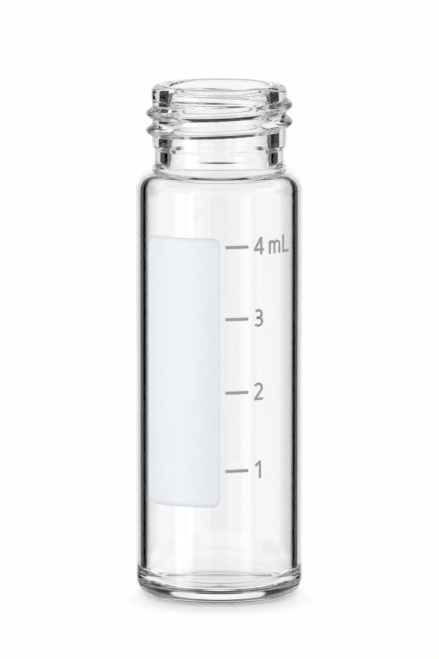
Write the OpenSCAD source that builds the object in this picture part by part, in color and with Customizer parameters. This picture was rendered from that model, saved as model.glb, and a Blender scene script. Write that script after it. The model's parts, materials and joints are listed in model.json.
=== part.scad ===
// Small glass sample vial with a screw neck, open at the top.
// One piece of glass: straight body, rounded heel, pushed-up base, rounded
// shoulder, throat, neck with a coarse rolled thread, and a rounded lip.
// Millimetres, +Z up. The origin is on the axis, in the plane the vial stands on.

/* [Body] */
// Height from the standing plane to the top of the lip
height = 45; // [38:0.5:60]
// Outside diameter of the straight body
body_d = 14.6; // [14:0.05:18]
// Thickness of the body wall
wall = 0.83; // [0.7:0.01:1.1]

/* [Base] */
// Thickness of the glass in the middle of the base
floor_t = 0.7; // [0.6:0.05:1.6]
// Radius of the outside heel
heel_r = 1.45; // [1:0.05:2]
// Radius of the inside corner between the wall and the floor
inner_heel_r = 1.4; // [0.6:0.05:2.2]
// Radius of the ring the vial stands on, where the pushed-up part begins
foot_r = 4.9; // [3:0.1:5.2]
// Rise of the pushed-up part in the middle of the base
push_up = 0.6; // [0.2:0.05:1]

/* [Shoulder] */
// Drop from the lip to where the body wall starts to turn in
shoulder_drop = 9.4; // [9.3:0.05:11]
// Outside radius of the shoulder
shoulder_r = 2.4; // [2.2:0.05:2.8]
// Thickness of the glass in the shoulder
shoulder_t = 0.85; // [0.5:0.05:1.1]
// Radius of the hollow where the shoulder runs up into the throat
throat_cove_r = 0.5; // [0.2:0.05:0.6]
// Radius of the inside corner where the cavity narrows to the bore
bore_cove_r = 1.7; // [0.3:0.1:2]

/* [Neck] */
// Diameter of the bore through the neck
bore_d = 9; // [7.5:0.05:9.1]
// Diameter of the plain throat under the thread
throat_d = 11.28; // [11:0.02:11.5]
// Drop from the lip to the small step above the throat
step_drop = 5.53; // [5.2:0.01:6]
// Diameter of the neck just above that step
step_d = 11.66; // [11.56:0.02:11.7]
// Diameter of the neck between the turns of the thread
root_d = 11.76; // [11.7:0.02:11.84]

/* [Lip] */
// Outside diameter of the lip
lip_d = 11.84; // [11.84:0.02:12.2]
// Height of the lip, down to the neck under it
lip_h = 1.35; // [1.1:0.05:1.4]
// Radius of the lip's outside edge
lip_r = 0.7; // [0.4:0.05:0.8]
// Radius of the lip's inside edge
mouth_r = 0.4; // [0.2:0.05:0.5]

/* [Thread] */
// Diameter over the crest of the thread
thread_d = 12.82; // [12.3:0.02:13.2]
// Height the thread climbs in one turn
pitch = 1.5; // [1.45:0.05:1.6]
// Width of the ridge where it meets the neck
ridge_w = 1.2; // [1:0.05:1.3]
// Turns over which each end of the ridge fades into the neck
fade_turns = 0.22; // [0.15:0.01:0.3]
// Drop from the lip to where the ridge crosses the back of the neck
thread_drop = 2.9; // [2.7:0.05:3.1]
// Gap from the lip's rounded edge down to the middle of the ridge's upper end
ridge_top_gap = 0.34; // [0.3:0.02:0.6]
// Gap from the step up to the middle of the ridge's lower end
ridge_foot_gap = 1.13; // [0.9:0.01:1.4]

/* [Hidden] */
$fn = 96;
body_r = body_d / 2;
bore_r = bore_d / 2;
throat_r = throat_d / 2;
root_r = root_d / 2;
shoulder_z = height - shoulder_drop;
arc_x = body_r - shoulder_r;
inner_r = body_r - wall;
inner_arc_r = shoulder_r - shoulder_t;
floor_z = push_up + floor_t;
dome_r = (foot_r * foot_r + push_up * push_up) / (2 * push_up);
over = 1;

// Turns of the ridge above and below its crossing at the back: as many as its pitch
// leaves room for between the lip and the step
turns_up = (thread_drop - lip_r - ridge_top_gap) / pitch;
turns_down = (step_drop - ridge_foot_gap - thread_drop) / pitch;
// Steps in one turn of the thread, and the rows along its whole length
turn_steps = 48;
rows = round((turns_up + turns_down) * turn_steps);
// Depth under the neck's skin at which the ridge's sides end, and depth of its root
under = 0.03;
sink = 0.35;
// Places across the ridge, from its lower edge to its upper one, as parts of half its width
across = [-1.05, -0.85, -0.62, -0.38, -0.14, 0.14, 0.38, 0.62, 0.85, 1.05];
cols = len(across) + 2;

// A box in the half section: from x0 to x1 across, from z0 to z1 up
module block(x0, z0, x1, z1) {
    translate([x0, z0]) square([x1 - x0, z1 - z0]);
}

// What a cove adds where a wall of radius edge_x runs up out of the arc of
// radius arc round (rim_x, shoulder_z): a hollow of radius r touching both.
module cove(edge_x, rim_x, arc, r) {
    cx = edge_x + r;
    dx = max(cx - rim_x, 0);
    cz = shoulder_z + sqrt((arc + r) * (arc + r) - dx * dx);
    difference() {
        polygon([[0, shoulder_z], [min(rim_x, cx), shoulder_z], [cx, cz], [0, cz]]);
        translate([cx, cz]) circle(r = r);
    }
}

// A column of radius r with its outside bottom or top edge rounded
module rounded_column(r, edge_r, z0, z1, edge_z) {
    block(0, z0, r - edge_r, z1);
    if (edge_z == z0) {
        block(0, z0 + edge_r, r, z1);
        translate([r - edge_r, z0 + edge_r]) circle(r = edge_r);
    } else {
        block(0, z0, r, z1 - edge_r);
        translate([r - edge_r, z1 - edge_r]) circle(r = edge_r);
    }
}

// Everything inside the outer skin, as a half section
module outer_half() {
    rounded_column(body_r, heel_r, 0, shoulder_z, 0);
    rounded_column(body_r, shoulder_r, shoulder_z - over, shoulder_z + shoulder_r, shoulder_z + shoulder_r);
    cove(throat_r, arc_x, shoulder_r, throat_cove_r);
    block(0, shoulder_z, throat_r, height - lip_h);
    step_z = height - step_drop;
    step_edge = step_d / 2 - throat_r;
    polygon([
        [0, step_z - step_edge / 2],
        [throat_r, step_z - step_edge / 2],
        [step_d / 2, step_z + step_edge / 2],
        [root_r, step_z + 0.7],
        [root_r, height - lip_h],
        [lip_d / 2, height - lip_h + 0.15],
        [0, height - lip_h + 0.15]
    ]);
    rounded_column(lip_d / 2, lip_r, height - lip_h + 0.15, height, height);
}

// The hollow: cavity, inside of the shoulder, bore and rounded mouth
module hollow_half() {
    rounded_column(inner_r, inner_heel_r, floor_z, shoulder_z, floor_z);
    rounded_column(inner_r, inner_arc_r, shoulder_z - over, shoulder_z + inner_arc_r, shoulder_z + inner_arc_r);
    cove(bore_r, inner_r - inner_arc_r, inner_arc_r, bore_cove_r);
    block(0, shoulder_z, bore_r, height + over);
    difference() {
        block(0, height - mouth_r, bore_r + mouth_r, height + over);
        translate([bore_r + mouth_r, height - mouth_r]) circle(r = mouth_r);
    }
}

// The dome pushed up into the base from below
module push_up_half() {
    intersection() {
        translate([0, push_up - dome_r]) circle(r = dome_r);
        block(0, -over, foot_r + over, push_up + over);
    }
}

// How far the ridge stands at part u of its length: nothing at the ends, 1 in the middle
function rise(u) =
    let (t = min(u, 1 - u) * (turns_up + turns_down) / fade_turns, s = min(t, 1))
    s * s * (3 - 2 * s);

// Radius of the ridge at part u of its length and part v of its half width:
// a rounded crest whose sides run out softly into the neck, to just under its skin
function ridge_r(u, v) =
    root_r - under + (thread_d / 2 - root_r + under) * rise(u) * pow(max(1 - v * v, 0), 1.5);

// Point on the ridge: the helix climbs pitch in a turn, and crosses the back at its drop
function ridge_point(u, v, r) =
    let (turns = u * (turns_up + turns_down) - turns_down, a = 90 + 360 * turns)
    [r * cos(a), r * sin(a), height - thread_drop + pitch * turns + v * ridge_w / 2];

// One row of points round the ridge's section, the two sunk ones last
function ridge_row(u) = concat(
    [for (v = across) ridge_point(u, v, ridge_r(u, v))],
    [ridge_point(u, 1.05, root_r - sink), ridge_point(u, -1.05, root_r - sink)]
);

// The thread: one ridge wound right-handed about the neck
module thread() {
    points = [for (i = [0 : rows]) each ridge_row(i / rows)];
    sides = [
        for (i = [0 : rows - 1], j = [0 : cols - 1])
        let (a = i * cols + j, b = i * cols + (j + 1) % cols)
        each [[a, b, b + cols], [a, b + cols, a + cols]]
    ];
    start = [for (j = [0 : cols - 1]) cols - 1 - j];
    end = [for (j = [0 : cols - 1]) rows * cols + j];
    polyhedron(points = points, faces = concat(sides, [start, end]), convexity = 6);
}

module vial() {
    color("lightcyan")
    union() {
        rotate_extrude()
        difference() {
            outer_half();
            hollow_half();
            push_up_half();
        }
        thread();
    }
}

vial();
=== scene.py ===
# %% [markdown]
# # A glass sample vial with a screw neck
#
# The object is a small laboratory vial of clear glass, 45 mm high, open at the
# top. It is worked from one piece of tube on a machine that turns it in a
# flame: the bottom is closed and pushed up a little, the shoulder is drawn in,
# and the neck is squeezed between rollers that leave a coarse thread. A white
# writing spot and a grey filling scale are printed on the outside and fired.
#
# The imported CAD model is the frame. It is loaded first, and everything made
# here stands in the same place, in metres, with +Z up. The vial is drawn in
# millimetres, and its points are turned into metres when they become a mesh.

import json

import bpy
import numpy as np
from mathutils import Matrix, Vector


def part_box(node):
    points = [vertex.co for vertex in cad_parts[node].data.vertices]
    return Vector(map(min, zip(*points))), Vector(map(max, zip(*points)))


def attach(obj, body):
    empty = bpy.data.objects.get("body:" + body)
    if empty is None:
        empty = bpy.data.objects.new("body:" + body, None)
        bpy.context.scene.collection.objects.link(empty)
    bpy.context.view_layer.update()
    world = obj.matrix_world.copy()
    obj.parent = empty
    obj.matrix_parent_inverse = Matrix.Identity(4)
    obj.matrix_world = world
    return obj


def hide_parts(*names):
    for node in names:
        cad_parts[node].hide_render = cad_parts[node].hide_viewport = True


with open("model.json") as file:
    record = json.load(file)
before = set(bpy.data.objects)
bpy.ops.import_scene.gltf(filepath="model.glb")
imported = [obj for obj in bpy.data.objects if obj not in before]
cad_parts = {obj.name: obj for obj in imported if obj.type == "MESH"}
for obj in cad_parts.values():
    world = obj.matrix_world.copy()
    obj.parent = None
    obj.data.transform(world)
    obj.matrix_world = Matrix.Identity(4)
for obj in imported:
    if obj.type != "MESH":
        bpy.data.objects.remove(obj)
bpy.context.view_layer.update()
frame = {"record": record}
MM = 0.001
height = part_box("vial")[1][2] / MM
body_r = (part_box("vial")[1][0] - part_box("vial")[0][0]) / 2 / MM
mounts = {mount["name"]: mount for mount in frame["record"]["mounts"]}
print("height", round(height, 3), "mm, body radius", round(body_r, 3), "mm, mounts", sorted(mounts))

# %% [markdown]
# ## The camera
#
# The camera stands a little higher than the vial and looks down on it, from
# 0.6 m away with a long lens, so that upright lines stay upright. It is made
# first, because the light is worked out for this view.

# %% Camera
LOOK_DOWN, DISTANCE = np.radians(7.7), 0.6
# The point aimed at: metres to the right of the axis, and the part of the vial's height
AIM_ASIDE, AIM_UP = 0.00002, 0.5198
eye = bpy.data.cameras.new("studio_camera")
eye.lens = 373.7
eye.sensor_width = 36.0
aim = np.array([AIM_ASIDE, 0, AIM_UP * height * MM])
camera = bpy.data.objects.new("studio_camera", eye)
bpy.context.scene.collection.objects.link(camera)
camera.location = aim + DISTANCE * np.array([0, -np.cos(LOOK_DOWN), np.sin(LOOK_DOWN)])
camera.rotation_euler = (np.pi / 2 - LOOK_DOWN, 0, 0)
bpy.context.scene.camera = camera
print("camera at", [round(float(v), 4) for v in camera.location])

# %% [markdown]
# ## Shader maths
#
# A node tree is easier to read as a formula. `Flow` stands for one socket, and
# the usual signs between flows add Math nodes. `Board.add` makes any other
# node: its settings are set first, then the values or links of its sockets.


# %% A small language for node trees
class Flow:
    """One output socket, on which + - and * add Math nodes."""

    def __init__(self, board, socket):
        self.board, self.socket = board, socket

    def math(self, operation, *others):
        """A Math node's result, with this flow as its first value."""
        values = dict(enumerate((self, *others)))
        return self.board.add("ShaderNodeMath", {"operation": operation}, values)

    def __add__(self, other):
        return self.math("ADD", other)

    def __mul__(self, other):
        return self.math("MULTIPLY", other)

    def __sub__(self, other):
        return self.math("SUBTRACT", other)

    def __rsub__(self, other):
        return self * -1 + other

    __radd__, __rmul__ = __add__, __mul__

    def rise(self, low, high):
        """0 below low, 1 above high, and a smooth step between."""
        settings = {"interpolation_type": "SMOOTHSTEP", "clamp": True}
        values = {"Value": self, "From Min": low, "From Max": high}
        return self.board.add("ShaderNodeMapRange", settings, values)

    def band(self, start, end, soft):
        """1 from start to end, with edges as wide as soft, and 0 elsewhere."""
        begun = self.rise(start - soft / 2, start + soft / 2)
        ended = self.rise(end - soft / 2, end + soft / 2)
        return begun * (1 - ended)


class Board:
    """A cleared node tree, with one way to add a node."""

    def __init__(self, owner):
        owner.use_nodes = True
        self.tree = owner.node_tree
        self.tree.nodes.clear()

    def add(self, kind, settings=None, values=None, out=0):
        """Node of that kind: settings first, then sockets by name or number. Returns its output."""
        node = self.tree.nodes.new(kind)
        for name, value in (settings or {}).items():
            setattr(node, name, value)
        for name, value in (values or {}).items():
            if isinstance(value, Flow):
                self.tree.links.new(value.socket, node.inputs[name])
            else:
                node.inputs[name].default_value = value
        return Flow(self, node.outputs[out] if len(node.outputs) else None)

    def split(self, flow):
        """The three parts of a vector."""
        node = self.add("ShaderNodeSeparateXYZ", None, {0: flow}).socket.node
        return [Flow(self, output) for output in node.outputs]

    def on_object(self):
        """Places on the object, in metres."""
        return self.add("ShaderNodeTexCoord", out=3)

    def mix(self, factor, a, b):
        """Number a where factor is 0 and number b where it is 1."""
        return self.add("ShaderNodeMix", None, {0: factor, 2: a, 3: b})

    def blend(self, factor, a, b):
        """Colour a where factor is 0 and colour b where it is 1."""
        return self.add("ShaderNodeMix", {"data_type": "RGBA"}, {0: factor, 6: a, 7: b}, out=2)


print("node language ready")

# %% [markdown]
# ## The light
#
# Clear glass has no look of its own: it shows what stands round it. Glassware
# is lit in a bright field, which is a white wall behind the piece with black
# cards beside it, on a white table.
#
# Wall, cards and lamps could be meshes, but they would shade the print, and
# stand in the way when the vial is seen from another side. So all of it is
# drawn as parts of the sky, by `turn` (degrees round to the right from the
# middle of the wall) and `lift` (degrees above level).

# %% Rays and directions
scene = bpy.context.scene
sky = Board(bpy.data.worlds.new("bright_field"))
scene.world = bpy.data.worlds["bright_field"]
ray = sky.add("ShaderNodeLightPath").socket.node.outputs
through, mirrored, bounced = (
    Flow(sky, ray[name]) for name in ("Is Transmission Ray", "Is Glossy Ray", "Diffuse Depth")
)
east, north, up = sky.split(sky.add("ShaderNodeTexCoord"))
turn = east.math("ARCTAN2", north) * (180 / np.pi)
lift = up.math("ARCSINE") * (180 / np.pi)
away = turn.math("ABSOLUTE")
print("sky", scene.world.name)

# %% [markdown]
# ### The ring at eye level
#
# The wall fills the middle of the glass. The black cards beside it are bent
# into view along the edges, where they draw the outline. Beyond each card is a
# gap, and the white in it shows as a bright line outside the black one. Two
# soft boxes beside the camera leave upright streaks on the front, and behind
# the camera lies the pale room.
#
# Two dim cards on the camera's side, one at its left and one behind it, show
# only to rays that come through the glass, and outline it when it is seen from
# behind. Mirrored rays still see the soft box and the room there.

# %% Ring
# How bright each part is
WALL, WALL_MIDDLE, LEFT_GAP, RIGHT_GAP = 0.86, 0.09, 1.1, 0.55
LEFT_BOX, RIGHT_BOX, ROOM, DIM_CARD = 3.0, 1.45, 0.7, 0.2
# Where each part begins and ends, in degrees of turn
WALL_ENDS, MIDDLE_ENDS = (-24, 26), (-13, 13)
LEFT_GAP_ENDS, RIGHT_GAP_ENDS = (-124, -59), (58, 126)
LEFT_BOX_ENDS, RIGHT_BOX_ENDS, ROOM_ENDS = (-143, -118), (131, 150), (-147, 150)
LEFT_CARD_ENDS, BACK_CARD_ENDS = (-148, -118), (-167, 167)
# How wide the parts' edges are
HARD, FIRM, BLURRED, SOFT = 4, 6, 8, 10
# The lifts just above the camera's own line, over which the black cards grow wider, and by how much
SIGHT, WIDER = (-6.7, -6.1), 18

wider = WIDER * lift.rise(*SIGHT)
left_gap = (turn + wider).band(*LEFT_GAP_ENDS, HARD) * turn.band(LEFT_GAP_ENDS[0], 0, HARD)
right_gap = (turn - wider).band(*RIGHT_GAP_ENDS, HARD) * turn.band(0, RIGHT_GAP_ENDS[1], HARD)
wall = turn.band(*WALL_ENDS, HARD)
level = (
    wall * WALL
    + turn.band(*MIDDLE_ENDS, BLURRED) * WALL_MIDDLE
    + left_gap * LEFT_GAP
    + right_gap * RIGHT_GAP
    + turn.band(*LEFT_BOX_ENDS, SOFT) * LEFT_BOX
    + turn.band(*RIGHT_BOX_ENDS, SOFT) * RIGHT_BOX
    + (1 - turn.band(*ROOM_ENDS, SOFT)) * ROOM
)
dim_cards = turn.band(*LEFT_CARD_ENDS, HARD) + 1 - turn.band(*BACK_CARD_ENDS, HARD)
level = level * (1 - dim_cards * through * (1 - DIM_CARD))
print("black cards from", WALL_ENDS, "to", (LEFT_GAP_ENDS[1], RIGHT_GAP_ENDS[0]), "degrees")

# %% [markdown]
# ### The table and the ceiling
#
# The table below is white, shaded close to the vial, and has a low black card
# standing at each side. The ceiling is dark but for some pale stretches and one
# lamp. Together they put the dark and bright lines on the thread, the shoulder
# and the heel.

# %% Table
TABLE, TABLE_SHADED, TABLE_BESIDE, LOW_CARD = 0.95, 0.4, 0.78, 0.15
# Where the low cards begin and end, and the lifts between which one part gives way to the next
LOW_CARD_ENDS, SHADED_TO_TABLE, DEEP_TO_BESIDE = (68, 112), (-48, -40), (-40, -34)

low_cards = away.band(*LOW_CARD_ENDS, FIRM)
carded = (1 - low_cards * (1 - LOW_CARD)) * TABLE
beside = sky.mix(lift.rise(*DEEP_TO_BESIDE), TABLE_BESIDE, carded)
behind = lift.rise(*SHADED_TO_TABLE) * (TABLE - TABLE_SHADED) + TABLE_SHADED
table = sky.mix(wall, beside, behind)
print("table", TABLE, "bright,", TABLE_SHADED, "close to the vial")

# %% Ceiling
# How bright its lower part and its top part are, further and further from the middle
CEILING_INNER, CEILING_BESIDE, CEILING_FAR = 0.65, 0.1, 0.9
TOP_BESIDE, TOP_FAR, LAMP = 0.6, 0.15, 0.5
# Where these begin and end, in degrees of turn and then of lift
LAMP_ENDS, INNER_ENDS, BESIDE_ENDS = (-12, 12), (13, 24), (24, 62)
TOP_ENDS, FAR_FROM = (15, 62), (58, 66)
CEILING_TO_TOP, TOP_TO_DARK, LAMP_LIFTS = (33, 37), (54, 60), (34, 58)

far = away.rise(*FAR_FROM)
low_part = (
    away.band(*INNER_ENDS, HARD) * CEILING_INNER
    + away.band(*BESIDE_ENDS, FIRM) * CEILING_BESIDE
    + far * CEILING_FAR
)
lamp = turn.band(*LAMP_ENDS, FIRM) * lift.band(*LAMP_LIFTS, FIRM) * LAMP
top_part = lamp + away.band(*TOP_ENDS, FIRM) * TOP_BESIDE + far * TOP_FAR
ceiling = sky.mix(lift.rise(*CEILING_TO_TOP), low_part, top_part) * (1 - lift.rise(*TOP_TO_DARK))
print("ceiling lamp", LAMP_LIFTS, "degrees up")

# %% [markdown]
# ### The whole sky
#
# Only rays that have met the glass see the parts. The camera, and the light that
# falls on the print and the floor, see plain white, so that the print keeps its
# own colour. Light has to get through many skins of glass, so it may bend and
# mirror more often than Blender lets it by default.

# %% Sky
WHITE, TABLE_TO_LEVEL, LEVEL_TO_CEILING = 0.991, (-21, -18), (16, 18)

above = sky.mix(lift.rise(*LEVEL_TO_CEILING), level, ceiling)
field = sky.mix(lift.rise(*TABLE_TO_LEVEL), table, above)
met_glass = through.math("MAXIMUM", mirrored) * (1 - bounced).math("MAXIMUM", 0.0)
glare = {"Color": (1, 1, 1, 1), "Strength": sky.mix(met_glass, WHITE, field)}
sky.add("ShaderNodeOutputWorld", None, {0: sky.add("ShaderNodeBackground", None, glare)})
scene.view_settings.view_transform = "Standard"
scene.cycles.max_bounces = 24
scene.cycles.transmission_bounces = 24
scene.cycles.glossy_bounces = 16
print("sky nodes", len(sky.tree.nodes))

# %% [markdown]
# ## The floor
#
# The vial stands on a plain white table. Only the camera and the light that
# falls on it see the table: the glass sees the one drawn in the sky. The table
# glows as white as the backdrop, but for a spot under the vial and a pool just
# in front of it, where the shadow of the base is let through.

# %% Floor
# Half the table's width, and its depth under the vial, in metres
HALF, BELOW = 3.0, 0.00002
# How much of the shadow shows, where the spot and the pool fade out, and how far forward the pool lies
SHADE, SPOT_EDGE, POOL_EDGE, POOL_FORWARD = 0.85, (0.0058, 0.008), (0.0045, 0.009), 0.004
floor_mesh = bpy.data.meshes.new("studio_floor")
floor_corners = [(-HALF, -HALF, 0), (HALF, -HALF, 0), (HALF, HALF, 0), (-HALF, HALF, 0)]
floor_mesh.from_pydata(floor_corners, [], [(0, 1, 2, 3)])
floor = bpy.data.objects.new("studio_floor", floor_mesh)
scene.collection.objects.link(floor)
floor.location.z = -BELOW
floor.visible_transmission = False
floor.visible_glossy = False
white_table = bpy.data.materials.new("white_table")
board = Board(white_table)
paper = board.add("ShaderNodeBsdfDiffuse", None, {"Color": (1, 1, 1, 1)})
glow = board.add("ShaderNodeEmission", None, {"Color": (1, 1, 1, 1), "Strength": WHITE})
east, north, up = board.split(board.on_object())
from_axis = (east * east + north * north).math("SQRT")
forward = north + POOL_FORWARD
from_pool = (east * east + forward * forward).math("SQRT")
near = (1 - from_axis.rise(*SPOT_EDGE)).math("MAXIMUM", 1 - from_pool.rise(*POOL_EDGE))
seen = Flow(board, board.add("ShaderNodeLightPath").socket.node.outputs["Is Camera Ray"])
shown = {0: seen * (1 - near * SHADE), 1: paper, 2: glow}
board.add("ShaderNodeOutputMaterial", None, {0: board.add("ShaderNodeMixShader", None, shown)})
floor_mesh.materials.append(white_table)
print("floor", floor_mesh.name)

# %% [markdown]
# ## The shape of the glass
#
# Everything but the thread is turned, so one line drawn from the middle of
# the underside, out and up the outside, over the lip, down the inside and
# back to the middle of the floor gives the whole wall. One skin with a Solidify
# modifier would be quicker, but the real wall isn't equally thick everywhere,
# and its thickness decides how it bends what lies behind it.
#
# The line is made of arcs and straights that touch. Every row of it carries its
# exact normal, so that the glass bends light as a true arc would and not as a
# row of flats.

# %% Straights and arcs
# How far short of its end each stretch stops, in mm
EDGE_GAP = 0.006


def straight(start, end, count):
    """Rows on the line start + t * (end - start), each with the line's outward normal.

    A row is (radius, height, normal's two parts). The last row lies just short
    of the end, so that this piece's own slope holds up to the next one.
    """
    start, run = np.array(start, float), np.subtract(end, start)
    length = np.linalg.norm(run)
    t = np.append(np.arange(count) / count, 1 - EDGE_GAP / length)[:, None]
    normal = np.array([[run[1], -run[0]]]) / length
    return np.hstack([start + t * run, np.repeat(normal, count + 1, axis=0)])


def arc(centre, radius, start, end, count):
    """Rows centre + radius * (cos a, sin a), a going from start to end in degrees, with normals."""
    gap = np.degrees(EDGE_GAP / radius) * np.sign(end - start)
    a = np.radians(np.append(start + (end - start) * np.arange(count) / count, end - gap))
    out = np.stack([np.cos(a), np.sin(a)], axis=1)
    return np.hstack([np.array(centre) + radius * out, np.sign(end - start) * out])


print("straight and arc ready")

# %% Sizes of the section
# The glass lies inside the CAD model's skin by the thickness of the print. All
# sizes are in mm. Uprights are given by their distance from the axis, roundings
# by their own radius, and drops are taken from the rim.
PRINT = 0.02
skin_r = body_r - PRINT
wall_t, floor_t, shoulder_t = 0.83, 0.65, 0.85
push_up, foot_r, dome_blend, floor_rise = 0.6, 4.9, 0.15, 0.12
heel_r, inner_heel_r, shoulder_r = 1.45, 1.42, 2.4
throat_r, step_r, root_r, lip_r = 5.64, 5.83, 5.88, 5.92
bore_r, mouth_r, mouth_taper = 4.52, 4.38, 1.2
cove_r, bore_cove_r, lip_round, mouth_round = 0.5, 1.72, 0.7, 0.4
shoulder_drop, step_drop, step_h, step_run, lip_h, lip_rise = 9.4, 5.53, 0.34, 0.7, 1.35, 0.15
shoulder_z, floor_z = height - shoulder_drop, push_up + floor_t
step_low, step_high = height - step_drop - step_h / 2, height - step_drop + step_h / 2
root_z, lip_z = height - step_drop + step_run, height - lip_h
arc_x, inner_r, inner_arc = skin_r - shoulder_r, skin_r - wall_t, shoulder_r - shoulder_t
print("glass", round(skin_r, 3), "mm from the axis, cavity", round(inner_r, 3), "mm")

# %% [markdown]
# ### Coves and dome
#
# Where the shoulder runs up into the throat, the outside has a small hollow, and
# the cavity draws in to the bore with a larger one. Each is an arc that touches
# both the upright and the shoulder's arc, so its centre follows from them. The
# dome under the base is an arc through its own middle and the standing ring.

# %% Coves and dome
def cove(edge_x, rim_x, rim, radius):
    """Centre of the hollow that touches an upright and the shoulder's arc, and its angle there."""
    dx = edge_x + radius - rim_x
    dz = np.sqrt((rim + radius) ** 2 - dx**2)
    return (edge_x + radius, shoulder_z + dz), np.degrees(np.arctan2(dz, dx))


dome_r = (foot_r**2 + push_up**2) / (2 * push_up)
dome_end = np.degrees(np.arcsin((foot_r - dome_blend) / dome_r))
hollow, hollow_a = cove(throat_r, arc_x, shoulder_r, cove_r)
gorge, gorge_a = cove(bore_r, inner_r - inner_arc, inner_arc, bore_cove_r)
print("dome radius", round(dome_r, 2), "mm, coves", round(hollow_a, 1), round(gorge_a, 1), "degrees")

# %% [markdown]
# ### The whole line
#
# The stretches follow each other in the order of the line, and each begins where
# the last one ends. Only the dome stops a little short of the standing ring, so
# that the edge between them is soft. The neck has the most rows, because the
# thread is raised on them afterwards.

# %% Outside and neck
outside = np.concatenate([
    arc((0, push_up - dome_r), dome_r, 90, 90 - dome_end, 14)[1:],
    straight((foot_r, 0), (skin_r - heel_r, 0), 2),
    arc((skin_r - heel_r, heel_r), heel_r, -90, 0, 30),
    straight((skin_r, heel_r), (skin_r, shoulder_z), 4),
    arc((arc_x, shoulder_z), shoulder_r, 0, hollow_a, 44),
    arc(hollow, cove_r, hollow_a + 180, 180, 16),
    straight((throat_r, hollow[1]), (throat_r, step_low), 2),
    straight((throat_r, step_low), (step_r, step_high), 2),
])
neck = np.concatenate([
    straight((step_r, step_high), (root_r, root_z), 6),
    straight((root_r, root_z), (root_r, lip_z), 92),
    straight((root_r, lip_z), (lip_r, lip_z + lip_rise), 4),
    straight((lip_r, lip_z + lip_rise), (lip_r, height - lip_round), 8),
])
print("rows outside", len(outside), "and in the neck", len(neck))

# %% Lip and inside
mouth_z, taper_z = height - mouth_round, height - mouth_round - mouth_taper
lip = np.concatenate([
    arc((lip_r - lip_round, height - lip_round), lip_round, 0, 90, 20),
    straight((lip_r - lip_round, height), (mouth_r + mouth_round, height), 2),
    arc((mouth_r + mouth_round, mouth_z), mouth_round, 90, 180, 16),
])
inside = np.concatenate([
    straight((mouth_r, mouth_z), (bore_r, taper_z), 3),
    straight((bore_r, taper_z), (bore_r, gorge[1]), 3),
    arc(gorge, bore_cove_r, 180, gorge_a + 180, 40),
    arc((inner_r - inner_arc, shoulder_z), inner_arc, gorge_a, 0, 40),
    straight((inner_r, shoulder_z), (inner_r, floor_z + inner_heel_r), 4),
    arc((inner_r - inner_heel_r, floor_z + inner_heel_r), inner_heel_r, 0, -90, 36),
    straight((inner_r - inner_heel_r, floor_z), (0, floor_z + floor_rise), 6)[:-1],
])
base, floor_top = [[0, push_up, 0, -1]], [[0, floor_z + floor_rise, 0, 1]]
profile = np.concatenate([base, outside, neck, lip, inside, floor_top])
neck_rows = slice(1 + len(outside), 1 + len(outside) + len(neck))
print("rows in the whole line", len(profile))

# %% [markdown]
# ## The thread
#
# The ridge winds two and a quarter turns round the neck, and fades into it over
# the last fifth of a turn at both ends. A ridge carried along a helix and joined
# to the neck would leave a seam, and a seam shows in glass. So on the grid it is
# a swelling of the neck's radius: at each angle and height, the nearest turn of
# the ridge says how far the glass stands out.

# %% Thread
thread_r, pitch, ridge_w, crest = 6.41, 1.5, 1.12, 1.2
full_turns, fade_turns = 1.81, 0.22
length_turns = full_turns + 2 * fade_turns
# Height at which the ridge crosses the back, and how many turns further up its middle lies
thread_z, lead = mounts["cap_thread"]["pos_m"][2] / MM, 0.125


def ridge(angle, z):
    """How far the thread stands out at an angle and height.

    The middle line of the ridge climbs by pitch in each turn. v is the distance
    from it as a part of half the ridge's width, and the ridge is
    (1 - v * v) ** crest high, times a smooth step that fades it at both ends.
    """
    best = np.zeros(np.broadcast(angle, z).shape)
    for lap in range(-2, 3):
        turns = (angle - np.pi / 2) / (2 * np.pi) + lap
        v = (z - thread_z - pitch * turns) / (ridge_w / 2)
        t = np.clip((length_turns / 2 - np.abs(turns - lead)) / fade_turns, 0, 1)
        fade = t * t * (3 - 2 * t)
        best = np.maximum(best, fade * (1 - np.minimum(v * v, 1)) ** crest)
    return best * (thread_r - root_r)


columns, tiny = 224, 1e-4
angle = np.arange(columns) * 2 * np.pi / columns
rows_r, rows_z, normal_r, normal_z = (
    np.repeat(profile[:, k : k + 1], columns, axis=1) for k in range(4)
)
normal_a = np.zeros_like(rows_r)
neck_z, round_a = rows_z[neck_rows], angle[None, :]
rows_r[neck_rows] += ridge(round_a, neck_z)
turning = (ridge(round_a + tiny, neck_z) - ridge(round_a - tiny, neck_z)) / (2 * tiny)
climbing = (ridge(round_a, neck_z + tiny) - ridge(round_a, neck_z - tiny)) / (2 * tiny)
normal_a[neck_rows] = -normal_r[neck_rows] * turning / rows_r[neck_rows]
normal_z[neck_rows] -= normal_r[neck_rows] * climbing
print("thread stands out", round(float(ridge(round_a, neck_z).max()), 3), "mm")

# %% [markdown]
# ## Meshes from grids
#
# Every piece is a grid of points, closed round its columns, so one helper makes
# them all. The first and last rows may be drawn together in one point each,
# which closes the poles, or be closed by flat faces.


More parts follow.
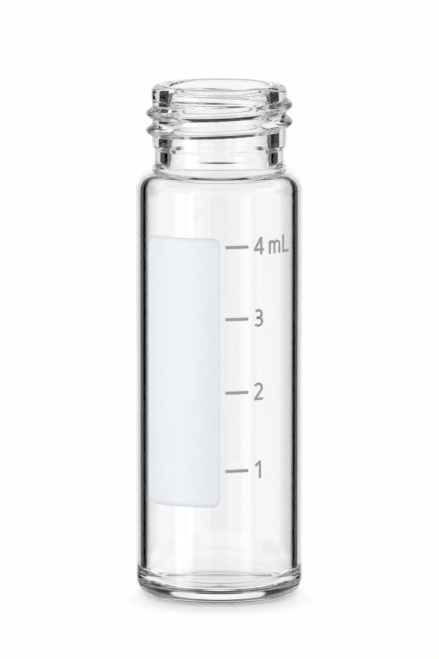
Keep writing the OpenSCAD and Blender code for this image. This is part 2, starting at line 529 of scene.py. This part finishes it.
# %% Grid to mesh
def surface(name, points, material, poles=False, normals=None):
    """Object from a grid of points (rows, columns, 3), closed round its columns.

    Each cell becomes one four-sided face. With poles, the first and last rows
    are single points, and fans of triangles close them; else flat faces do.
    """
    rows, cols = points.shape[:2]
    flat = points.reshape(-1, 3)
    i, j = np.meshgrid(np.arange(rows - 1), np.arange(cols), indexing="ij")
    k = (j + 1) % cols
    below, above = i * cols, (i + 1) * cols
    cells = np.stack([below + j, below + k, above + k, above + j], axis=-1)
    if poles:
        flat = np.concatenate([flat[:1], flat[cols:-cols], flat[-1:]])
        cells = np.clip(cells - cols + 1, 0, len(flat) - 1)
        fans = cells[0][:, [0, 2, 3]].tolist() + cells[-1][:, [0, 1, 2]].tolist()
        faces = cells[1:-1].reshape(-1, 4).tolist() + fans
    else:
        last = (rows - 1) * cols
        ends = [list(range(cols))[::-1], list(range(last, last + cols))]
        faces = cells.reshape(-1, 4).tolist() + ends
    mesh = bpy.data.meshes.new(name)
    mesh.from_pydata((flat * MM).tolist(), [], faces)
    mesh.validate()
    mesh.shade_smooth()
    if normals is not None:
        middle = normals[1:-1].reshape(-1, 3)
        exact = np.vstack([normals[0, :1], middle, normals[-1, :1]])
        mesh.normals_split_custom_set_from_vertices(exact)
    mesh.materials.append(material)
    piece = bpy.data.objects.new(name, mesh)
    scene.collection.objects.link(piece)
    return piece


print("grid helper ready")

# %% [markdown]
# ## Clear glass
#
# The glass is colourless and polished by the flame. What tells it from a
# perfect shape are very shallow waves along the tube, left by drawing, and
# the faintest haze of handling. Waves in the mesh would need far more faces, so
# a noise stretched along the tube tilts the normal by a hair instead.

# %% Glass material
clear_glass = bpy.data.materials.new("clear_glass")
board = Board(clear_glass)
WAVES_ACROSS, WAVES_ALONG, HAZE = 420, 30, 0.01
place = board.on_object()
stretch = {"Vector": place, "Scale": (WAVES_ACROSS, WAVES_ACROSS, WAVES_ALONG)}
drawn = board.add("ShaderNodeMapping", None, stretch)
wave = {"Vector": drawn, "Scale": 1.0, "Detail": 2.0, "Roughness": 0.5}
waves = board.add("ShaderNodeTexNoise", None, wave)
haze = board.add("ShaderNodeTexNoise", None, {"Vector": place, "Scale": 260.0, "Detail": 3.0})
bump = board.add("ShaderNodeBump", None, {"Strength": 0.02, "Distance": 0.0002, "Height": waves})
look = {
    "Base Color": (0.9975, 0.997, 1.0, 1),
    "Roughness": haze.rise(0.5, 0.8) * HAZE,
    "IOR": 1.5,
    "Transmission Weight": 1.0,
    "Normal": bump,
}
board.add("ShaderNodeOutputMaterial", None, {0: board.add("ShaderNodeBsdfPrincipled", None, look)})
print("glass nodes", len(board.tree.nodes))

# %% [markdown]
# ### The glass body
#
# The line is carried round the axis in equal steps, with the thread's swelling
# already in its rows. A Screw modifier would turn the line too, but not its
# normals, so points and normals are turned together.

# %% The glass body
c, s = np.cos(angle)[None, :], np.sin(angle)[None, :]
points = np.stack([rows_r * c, rows_r * s, rows_z], axis=-1)
normals = np.stack([normal_r * c - normal_a * s, normal_r * s + normal_a * c, normal_z], axis=-1)
normals /= np.linalg.norm(normals, axis=-1, keepdims=True)
vial_glass = surface("vial_glass", points, clear_glass, poles=True, normals=normals)
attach(vial_glass, "root")
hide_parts("vial")
print("glass faces", len(vial_glass.data.polygons))

# %% [markdown]
# ## The print
#
# The print is enamel, screened on and fired, and lies on the glass as a skin two
# hundredths of a millimetre thick. It could be a mask in the glass's material,
# but a skin of its own has a sharp edge, hides what lies behind it, and shows
# its back through the glass. It is drawn on the flat and then wrapped round the
# body, the screen having stood a touch askew.


# %% Wrapping flat shapes round the body
SCREEN_CLIMB = 0.06


def wrap(flat, heights):
    """Flat points (along the girth, up) and their heights over the glass, in mm, put round the body.

    The angle from the front is the distance along the girth divided by the
    body's radius. The print climbs by SCREEN_CLIMB mm in a radian.
    """
    a = flat[..., 0] / body_r
    r = skin_r + heights
    return np.stack([r * np.sin(a), -r * np.cos(a), flat[..., 1] + SCREEN_CLIMB * a], axis=-1)


print("print", PRINT, "mm thick")

# %% [markdown]
# ### Enamel
#
# Fired enamel is dull and finely grained. The writing spot carries painted shade,
# darker from its middle towards its upright edges. One flat colour would look like
# paper, so noise varies its colour, its dullness and its surface a little.

# %% Enamels
# Where the writing spot's painted shade is nil and where it is deepest, in metres
# to the right of the axis, and how much of the painted shade there is at the left
UNSHADED_MIDDLE, LEFT_SHADE_END, RIGHT_SHADE_END, LEFT_SHADE_PART = -0.0035, -0.0072, 0.0005, 0.7


def enamel(name, colour, grain, edge_shade=0.0):
    """Fired enamel, dull and grainy, its colour varying a little with the thickness of the print.

    The last argument is painted shade: it darkens the writing spot from its middle
    to its upright edges.
    """
    material = bpy.data.materials.new(name)
    board = Board(material)
    at = board.on_object()
    cloudy = {"Vector": at, "Scale": 900.0, "Detail": 4.0, "Roughness": 0.6}
    cloud = board.add("ShaderNodeTexNoise", None, cloudy)
    speck = board.add("ShaderNodeTexNoise", None, {"Vector": at, "Scale": 9000.0, "Detail": 2.0})
    thin = tuple(part * (1 - grain) for part in colour)
    east = board.split(at)[0]
    # Painted shade: the white spot is darker towards its upright edges
    left_shade = (1 - east.rise(LEFT_SHADE_END, UNSHADED_MIDDLE)) * LEFT_SHADE_PART
    painted_shade = 1 - (east.rise(UNSHADED_MIDDLE, RIGHT_SHADE_END) + left_shade) * edge_shade
    grains = board.blend(cloud.rise(0.3, 0.7), (*thin, 1), (*colour, 1))
    shade = board.add("ShaderNodeVectorMath", {"operation": "SCALE"}, {0: grains, "Scale": painted_shade})
    lump = {"Strength": 0.25, "Distance": 0.00002, "Height": speck + cloud * 0.5}
    look = {
        "Base Color": shade,
        "Roughness": 0.5 + speck * 0.15,
        "Normal": board.add("ShaderNodeBump", None, lump),
        "IOR": 1.45,
    }
    fired = board.add("ShaderNodeBsdfPrincipled", None, look)
    board.add("ShaderNodeOutputMaterial", None, {0: fired})
    return material


# The white enamel carries painted shade towards the writing spot's upright edges
white_enamel = enamel("white_enamel", (0.875, 0.9, 0.945), 0.012, 0.09)
grey_enamel = enamel("grey_enamel", (0.335, 0.34, 0.365), 0.05)
print("enamels", white_enamel.name, grey_enamel.name)


# %% [markdown]
# ### The writing spot
#
# The white field for writing on has rounded corners. A single sheet of faces
# would have no edge and no back, so it is a thin closed skin: rings shrink from
# the outline to the middle, once on the inner face and once on the outer one.


# %% Writing spot
def rounded_frame(low, high, radius, count):
    """Outline of a rectangle with round corners, anticlockwise, count points a side."""
    low, high = np.array(low), np.array(high)
    corners = np.array([(high[0], low[1]), high, (low[0], high[1]), low])
    stretches = []
    for n, corner in enumerate(corners):
        following = corners[(n + 1) % 4]
        ahead, inward = np.sign(following - corner), np.sign((low + high) / 2 - corner)
        stretches.append(arc(corner + radius * inward, radius, -90 + 90 * n, 90 * n, count // 3))
        stretches.append(straight(corner + radius * ahead, following - radius * ahead, count))
    return np.concatenate(stretches)[:, :2]


# How deep the print's inner face lies in the glass, in mm, and how thick the
# writing spot's edge is, as a part of the print's thickness
SUNK, EDGE_PART = 0.006, 0.6


def skin_patch(name, outline, material, rings=24):
    """Thin skin over the body inside an outline, from rings that shrink towards its middle.

    Ring t holds middle + t * (outline - middle), on the inner face for t from
    0 to 1 and on the outer face back from 1 to 0. The outer face's edge is
    thinner than the rest.
    """
    middle = (outline.min(axis=0) + outline.max(axis=0)) / 2
    t = np.concatenate([np.linspace(0, 1, rings), np.linspace(1, 0, rings)])[:, None, None]
    flat = middle + t * (outline[None] - middle)
    heights = np.repeat([-SUNK, PRINT], rings)
    heights[rings] = PRINT * EDGE_PART
    return surface(name, wrap(flat, heights[:, None])[:, ::-1], material, poles=True)


# The spot's lower left and upper right corners, and the radius of its corners
SPOT_LOW, SPOT_HIGH, SPOT_CORNER = (-7.34, 8.74), (0.077, 32.32), 0.75
spot_outline = rounded_frame(SPOT_LOW, SPOT_HIGH, SPOT_CORNER, 24)
writing_spot = skin_patch("writing_spot", spot_outline, white_enamel)
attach(writing_spot, "root")
print("writing spot", len(writing_spot.data.polygons), "faces")


# %% [markdown]
# ### Strokes
#
# Grey enamel makes the scale: four dashes with their numbers, and the unit
# beside the top one. Blender's own text would bring a typeface with it, and its
# long flat faces would cut through the round body. So each mark is a ribbon
# carried along a path in small steps.

# %% Strokes
# Step along a stroke, in mm
WALK = 0.05


def stroke(name, path, width, material):
    """Ribbon of a width along a path on the flat, wrapped round the body.

    The path is first walked in small steps. Each point gets the mean
    direction of its neighbours, and the ribbon's two edges lie half the width
    to its left and right, on the inner and on the outer face of the print.
    """
    path = np.asarray(path, float)
    gaps = np.hypot(*np.diff(path, axis=0).T)
    along = np.concatenate([[0], np.cumsum(gaps)])
    steps = max(3, int(along[-1] / WALK))
    walk = np.union1d(np.linspace(0, along[-1], steps), along)
    points = np.stack([np.interp(walk, along, part) for part in path.T], axis=1)
    ahead = np.gradient(points, axis=0)
    ahead /= np.hypot(*ahead.T)[:, None]
    left = np.stack([-ahead[:, 1], ahead[:, 0]], axis=1)
    sides = np.array([1, -1, -1, 1])[None, :, None] * width / 2
    flat = points[:, None] + sides * left[:, None]
    heights = np.array([[-SUNK, -SUNK, PRINT, PRINT]])
    piece = surface(name, wrap(flat, heights)[:, ::-1], material)
    piece.data.shade_flat()
    return piece


def bend(centre, radii, start, end, count=16):
    """Points on an upright oval from angle start to end in degrees, both ends included."""
    a = np.radians(np.linspace(start, end, count))
    return np.array(centre) + np.stack([radii[0] * np.cos(a), radii[1] * np.sin(a)], axis=1)


print("stroke helpers ready")

# %% [markdown]
# ### The marks
#
# The signs are drawn as a sign writer would, stroke by stroke, on a field
# 1 high. Their strokes end square and are of one weight.

# %% Dashes, numbers and the unit
glyphs = {
    "1": [[(0.0, 0.72), (0.29, 0.95)], [(0.28, 1.0), (0.28, 0.0)]],
    "2": [
        np.concatenate([bend((0.27, 0.70), (0.22, 0.23), 155, -25), [(0.07, 0.07)]]),
        [(0.0, 0.07), (0.57, 0.07)],
    ],
    "3": [
        np.concatenate([bend((0.27, 0.72), (0.21, 0.21), 140, -90), [(0.16, 0.51)]]),
        np.concatenate([[(0.16, 0.51)], bend((0.26, 0.29), (0.25, 0.22), 90, -140)]),
    ],
    "4": [[(0.45, 1.0), (0.45, 0.0)], [(0.42, 0.96), (0.05, 0.30)], [(0.0, 0.29), (0.63, 0.29)]],
    "m": [
        [(0.07, 0.74), (0.07, 0.0)],
        np.concatenate([bend((0.24, 0.50), (0.17, 0.19), 180, 0), [(0.41, 0.0)]]),
        np.concatenate([bend((0.60, 0.50), (0.19, 0.19), 180, 0), [(0.79, 0.0)]]),
    ],
    "L": [[(0.07, 1.0), (0.07, 0.0)], [(0.0, 0.07), (0.57, 0.07)]],
}
# Sizes and places in mm: height and weight of the signs, the dashes' ends and
# weight, where each sign begins, and how high each dash stands
SIGN_HEIGHT, SIGN_WEIGHT, SIGN_UP = 1.55, 0.225, 0.03
DASH_FROM, DASH_TO, DASH_WEIGHT = 0.537, 2.582, 0.27
SIGN_AT = {"1": 3.26, "2": 3.12, "3": 3.12, "4": 3.12, "m": 4.6, "L": 6.22}
DASH_HEIGHTS = {"1": 11.92, "2": 18.79, "3": 25.22, "4mL": 31.505}
marks = []
for signs, z in DASH_HEIGHTS.items():
    dash = [(DASH_FROM, z), (DASH_TO, z)]
    marks.append(stroke("dash_" + signs[0], dash, DASH_WEIGHT, grey_enamel))
    for sign in signs:
        corner = (SIGN_AT[sign], z - SIGN_HEIGHT / 2 + SIGN_UP)
        for part, path in enumerate(glyphs[sign]):
            path = np.asarray(path, float) * SIGN_HEIGHT + corner
            marks.append(stroke("sign_%s_%d" % (sign, part), path, SIGN_WEIGHT, grey_enamel))
for mark in marks:
    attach(mark, "root")
print("marks", len(marks))
